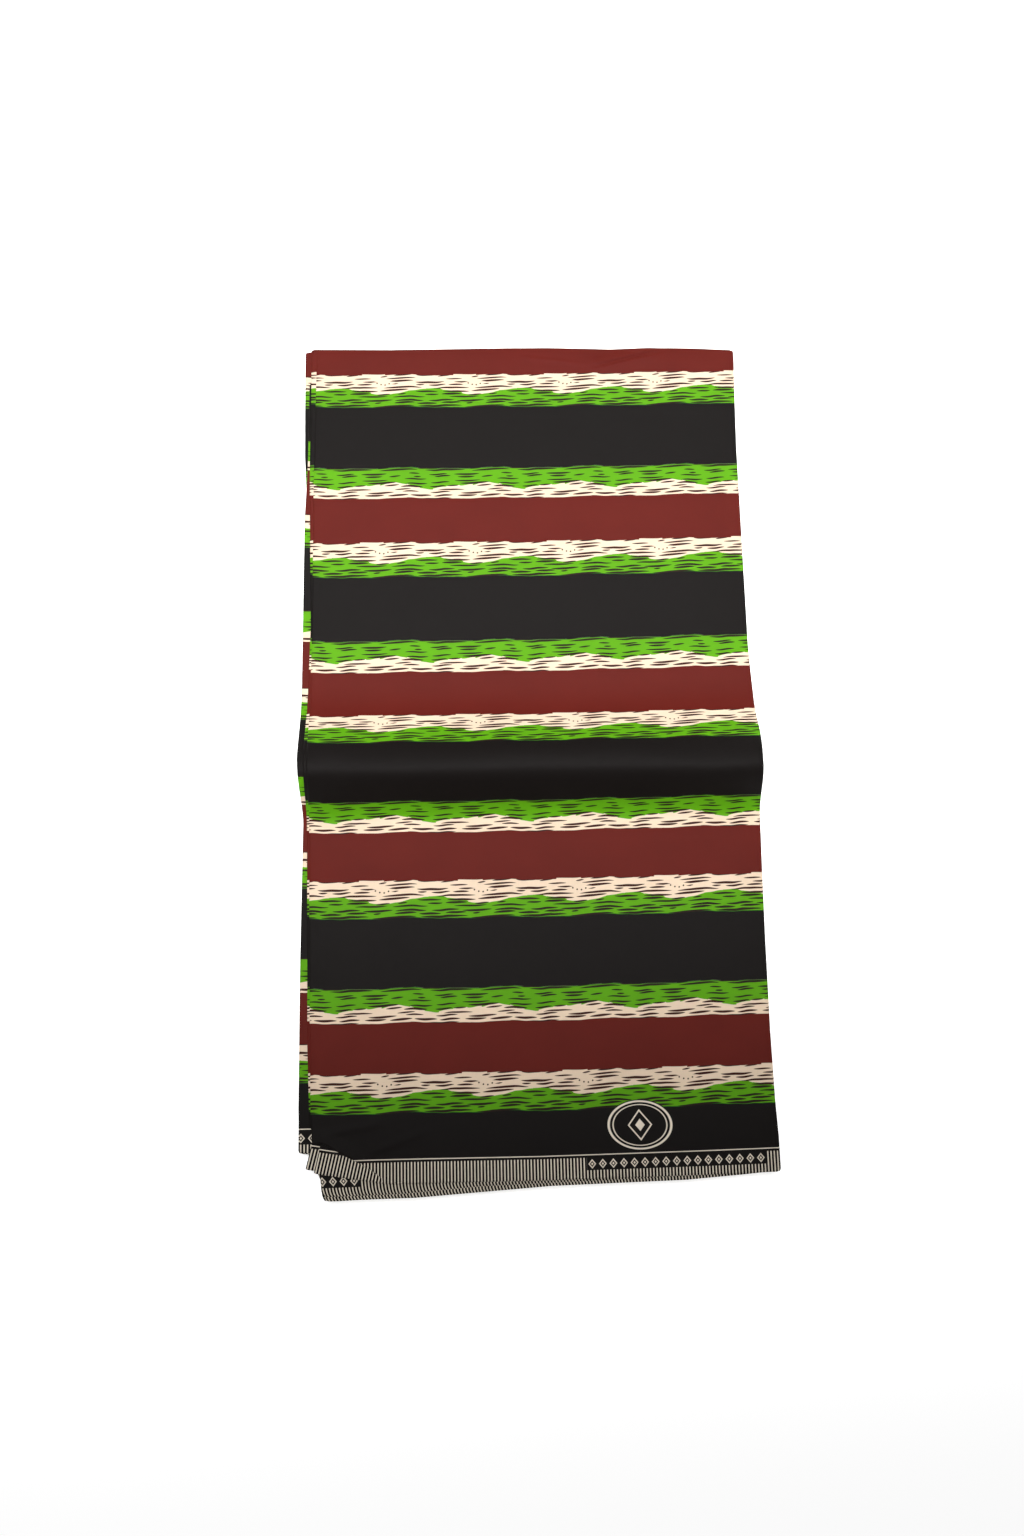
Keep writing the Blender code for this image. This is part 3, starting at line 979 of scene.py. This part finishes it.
# %% Colours of the stripes
MAROON = (0.094, 0.0080, 0.0045, 1)
BLACK = (0.0044, 0.0031, 0.0027, 1)
GREEN = (0.084, 0.288, 0.0030, 1)
CREAM = (0.700, 0.550, 0.410, 1)
STROKE_ON_CREAM = (0.034, 0.0085, 0.0060, 1)
STROKE_ON_GREEN = (0.016, 0.0095, 0.0040, 1)
DEEP_GREEN = (0.014, 0.090, 0.006, 1)
DEEP_EDGE = 0.4  # green is deep within this of a black stripe, where the two dyes run together

green_low = inside(minus(low_edge, stripe))
green_high = inside(minus(stripe, high_edge))
in_band_low = inside(minus(plus(LOWER_BAND, steps(4, 3.0, 1.1)), stripe))
above_maroon = inside(minus(stripe, plus(MAROON_TOP, steps(5, 4.0, 0.5))))
below_black = inside(minus(plus(UPPER_BAND, steps(3, 5.0, 0.9)), stripe))
in_band_high = times(above_maroon, below_black)
is_green = plus(times(green_low, in_band_low), times(green_high, in_band_high))
is_band = plus(in_band_low, in_band_high)

edge_of_green = calc("MINIMUM", calc("ABSOLUTE", stripe), calc("ABSOLUTE", minus(stripe, UPPER_BAND)))
field = painted(inside(minus(stripe, UPPER_BAND)), MAROON, BLACK)
green = painted(inside(minus(DEEP_EDGE, edge_of_green), 0.5), GREEN, DEEP_GREEN)
ground = painted(is_green, CREAM, green)
ink = painted(is_green, STROKE_ON_CREAM, STROKE_ON_GREEN)
band = painted(dashes, ground, ink)
stripes = painted(is_band, field, band)
count_nodes()

# %% [markdown]
# ## The selvedge
#
# Along each selvedge runs a black border with a thin cream line and a row of short cream bars. In some
# stretches the bars are shorter, and a row of small lozenges stands over them. Above that stretch is a
# plain oval ornament. Each of these is a distance too: a bar from the middle of its gap, a line from its
# height, a lozenge from the sum of two distances, and a ring from its middle.

# %% The selvedge's bars and line
BAR_PITCH, BAR_TOP, SHORT_BAR_TOP = 2.15, 13.2, 5.4
BAR_GAP = BAR_PITCH * 0.315  # half of the gap between two bars
LINE_AT, LINE_HALF = 15.0, 0.30
STRETCH_START, STRETCH_LONG, STRETCH_PITCH = 177.0, 117.0, 404.0


def band_about(distance, half, soft):
    """1 where the distance is within half of 0 to both sides."""
    return inside(minus(half, calc("ABSOLUTE", distance)), soft)


in_stretch = calc("FLOORED_MODULO", minus(length, STRETCH_START), STRETCH_PITCH)
stretch = inside(minus(STRETCH_LONG, in_stretch))
bar_beside = minus(calc("PINGPONG", length, BAR_PITCH / 2), BAR_GAP)
bar_top = minus(BAR_TOP, times(stretch, BAR_TOP - SHORT_BAR_TOP))
bars = times(inside(bar_beside, 0.25), inside(minus(bar_top, width), 0.3))
line = band_about(minus(width, LINE_AT), LINE_HALF, 0.2)
count_nodes()

# %% The lozenges
LOZENGE_PITCH, LOZENGE_AT = 6.9, 9.3
LOZENGE_SIZE, LOZENGE_LINE, LOZENGE_DOT = 2.1, 0.45, 0.75
LOZENGE_TALL = 0.85  # below 1, it stands higher than it is wide

along_lozenge = minus(calc("FLOORED_MODULO", in_stretch, LOZENGE_PITCH), LOZENGE_PITCH / 2)
up_lozenge = calc("ABSOLUTE", minus(width, LOZENGE_AT))
from_lozenge = plus(calc("ABSOLUTE", along_lozenge), times(up_lozenge, LOZENGE_TALL))
lozenge = band_about(minus(from_lozenge, LOZENGE_SIZE), LOZENGE_LINE, 0.3)
lozenge_dot = inside(minus(LOZENGE_DOT, from_lozenge), 0.3)
lozenges = times(calc("MAXIMUM", lozenge, lozenge_dot), stretch)
count_nodes()

# %% The oval and the border
OVAL_ALONG, OVAL_AT = 36.2, 32.7  # its middle in the stretch and from the selvedge
OVAL_LONG, OVAL_HIGH = 20.5, 15.0  # half its length and height
RING_LINE, THIN_LINE, THIN_RING = 0.55, 0.28, 0.86  # the thin ring is this much of the outer one
DIAMOND_SIZE, DIAMOND_LINE, DIAMOND_NARROW, HEART = 0.62, 0.045, 1.7, 0.26
OVAL_PATCH = 1.08  # the oval lies on black, up to this much of its size
BORDER_TOP = BLACK_TOP + 6  # nothing of the border lies above this
SELVEDGE_CREAM = (0.76, 0.68, 0.56, 1)

# The oval stands in every second stretch
in_two = calc("FLOORED_MODULO", minus(length, STRETCH_START), 2 * STRETCH_PITCH)
along_oval = times(minus(in_two, OVAL_ALONG), 1 / OVAL_LONG)
up_oval = times(minus(width, OVAL_AT), 1 / OVAL_HIGH)
from_middle = far_from(along_oval, up_oval)
ring_line = band_about(times(minus(from_middle, 1.0), OVAL_HIGH), RING_LINE, 0.3)
thin_ring = band_about(times(minus(from_middle, THIN_RING), OVAL_HIGH), THIN_LINE, 0.3)
diamond = plus(calc("ABSOLUTE", times(along_oval, DIAMOND_NARROW)), calc("ABSOLUTE", up_oval))
diamond_line = band_about(minus(diamond, DIAMOND_SIZE), DIAMOND_LINE, 0.03)
heart = inside(minus(HEART, diamond), 0.03)
oval = calc("MAXIMUM", calc("MAXIMUM", ring_line, thin_ring), calc("MAXIMUM", diamond_line, heart))

drawn = calc("MAXIMUM", calc("MAXIMUM", bars, line), calc("MAXIMUM", lozenges, oval))
near_selvedge = inside(minus(BORDER_TOP, width), 1.0)
oval_patch = inside(minus(OVAL_PATCH, from_middle), 0.03)
bordered = painted(times(oval_patch, near_selvedge), stripes, BLACK)
print_colour = painted(times(drawn, near_selvedge), bordered, SELVEDGE_CREAM)
count_nodes()

# %% [markdown]
# ## Cotton under the print
#
# Wax print is a dense plain weave with a soft waxy finish. Its threads are about a third of a millimetre
# apart, so they are hardly seen from a metre away, but they break up the gloss. Some threads are thicker
# than others, which gives a faint linen look. The dye is a little uneven too. Threads as real meshes would
# be far too many. They are noise drawn out along the cloth and across it, and it also feeds a bump.

# %% The weave and the dye
THREAD, SLUB = 0.36, 5.0  # from one thread to the next, and how long its thick places are
CROSSING = 0.10  # how much the crossings of the threads add to its height
BLOTCH_LONG, BLOTCH_WIDE = 38, 30
SHADE, SHADE_BLOTCH, SHADE_WEAVE = 0.80, 0.22, 0.20  # the print's least brightness, and what these add

threads_along = cloudy(vector(times(length, 1 / SLUB), times(width, 1 / THREAD), 2.0), detail=1.0)
threads_across = cloudy(vector(times(length, 1 / THREAD), times(width, 1 / SLUB), 6.0), detail=1.0)
weave = times(plus(threads_along, threads_across), 0.5)
crossing_along, crossing_across = [calc("SINE", times(at, 2 * pi / THREAD)) for at in (length, width)]
cotton_height = plus(weave, times(times(crossing_along, crossing_across), CROSSING))

blotch = cloudy(vector(times(length, 1 / BLOTCH_LONG), times(width, 1 / BLOTCH_WIDE), 1.0), detail=3.0)
shade = plus(SHADE, plus(times(blotch, SHADE_BLOTCH), times(weave, SHADE_WEAVE)))
tone = tree.nodes.new("ShaderNodeVectorMath")
tone.operation = "SCALE"
feed(tone.inputs[0], print_colour)
feed(tone.inputs["Scale"], shade)
feed(shader.inputs["Base Color"], tone.outputs[0])

# %% The gloss and the thread's height
SMOOTHEST, ROUGHER = 0.56, 0.16
THREAD_HEIGHT = 0.00012

feed(shader.inputs["Roughness"], plus(SMOOTHEST, times(weave, ROUGHER)))
shader.inputs["Specular IOR Level"].default_value = 0.10
shader.inputs["Sheen Weight"].default_value = 0.025
shader.inputs["Sheen Roughness"].default_value = 0.45
shader.inputs["Sheen Tint"].default_value = (1.0, 0.97, 0.95, 1)

raised = tree.nodes.new("ShaderNodeBump")
raised.inputs["Strength"].default_value = 0.5
raised.inputs["Distance"].default_value = THREAD_HEIGHT
feed(raised.inputs["Height"], cotton_height)
feed(shader.inputs["Normal"], raised.outputs[0])
count_nodes()

# %% Putting the cloth on the bundle
for sheet in (top, following, lower):
    sheet.data.materials.append(material)
    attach(sheet, "root")
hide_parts("top_layer")
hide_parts("left_layer", "near_layer")
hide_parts("hidden_layers")

# %% [markdown]
# ## Floor, light and camera
#
# The bundle lies on a plain white table under soft light. A large soft lamp stands over the far end and
# sends its light down in a narrow cone, so that the light falls off towards the near end and leaves the
# near slope of the swell in shade. A wide cone would light both ends alike. A weak lamp at the left and a
# pale sky soften the shade. The table glows a little, so that it stays white where the lamps don't reach.

# %% The floor
FLOOR_HALF = 6
bm = bmesh.new()
bmesh.ops.create_grid(bm, x_segments=1, y_segments=1, size=FLOOR_HALF)
mesh = bpy.data.meshes.new("floor")
bm.to_mesh(mesh)
bm.free()
floor = bpy.data.objects.new("floor", mesh)
bpy.context.scene.collection.objects.link(floor)
table = bpy.data.materials.new("white_table")
table.use_nodes = True
surface = table.node_tree.nodes["Principled BSDF"]
surface.inputs["Base Color"].default_value = (0.90, 0.90, 0.90, 1)
surface.inputs["Roughness"].default_value = 0.9
surface.inputs["Emission Color"].default_value = (1, 1, 1, 1)
surface.inputs["Emission Strength"].default_value = 0.70
floor.data.materials.append(table)
print("The floor is", 2 * FLOOR_HALF, "m wide")


# %% Lamps and sky
def lamp(name, place, aim, size, power):
    """A flat lamp at a place that shines at its aim."""
    light = bpy.data.lights.new(name, "AREA")
    light.shape = "RECTANGLE"
    light.size, light.size_y = size
    light.energy = power
    thing = bpy.data.objects.new(name, light)
    thing.location = place
    thing.rotation_euler = (Vector(aim) - Vector(place)).to_track_quat("-Z", "Y").to_euler()
    bpy.context.scene.collection.objects.link(thing)
    return thing


far_lamp = lamp("far_lamp", place=(0.05, 0.315, 1.06), aim=(0.054, 0.216, 0), size=(1.1, 0.76), power=4.35)
far_lamp.data.spread = radians(38)
lamp("left_lamp", place=(-1.3, 0.1, 1.3), aim=(0, 0, 0), size=(1.0, 1.0), power=2)
sky = bpy.data.worlds.new("sky")
sky.use_nodes = True
sky.node_tree.nodes["Background"].inputs["Color"].default_value = (1, 1, 1, 1)
sky.node_tree.nodes["Background"].inputs["Strength"].default_value = 0.25
bpy.context.scene.world = sky
bpy.context.scene.view_settings.view_transform = "Standard"
print("Lamps:", len(bpy.data.lights))

# %% The camera
# It stands over the near half of the bundle and looks down, tipped a little towards the far side.
CAMERA_AT = Vector((0.09981, 0.09339, 0.90544))
PITCH_ANGLE, ROLL_ANGLE, YAW_ANGLE = 0.195, -0.037, -0.022
LENS, SENSOR = 31.22, 36

eye = bpy.data.cameras.new("eye")
eye.lens = LENS
eye.sensor_width = SENSOR
eye.clip_start = 0.01
camera = bpy.data.objects.new("camera", eye)
turned = Matrix.Rotation(YAW_ANGLE, 3, "Z") @ Matrix.Rotation(ROLL_ANGLE, 3, "Y")
camera.matrix_world = (turned @ Matrix.Rotation(PITCH_ANGLE, 3, "X")).to_4x4()
camera.location = start + CAMERA_AT
bpy.context.scene.collection.objects.link(camera)
bpy.context.scene.camera = camera
print("The camera stands", round(camera.location.z, 3), "m over the table")
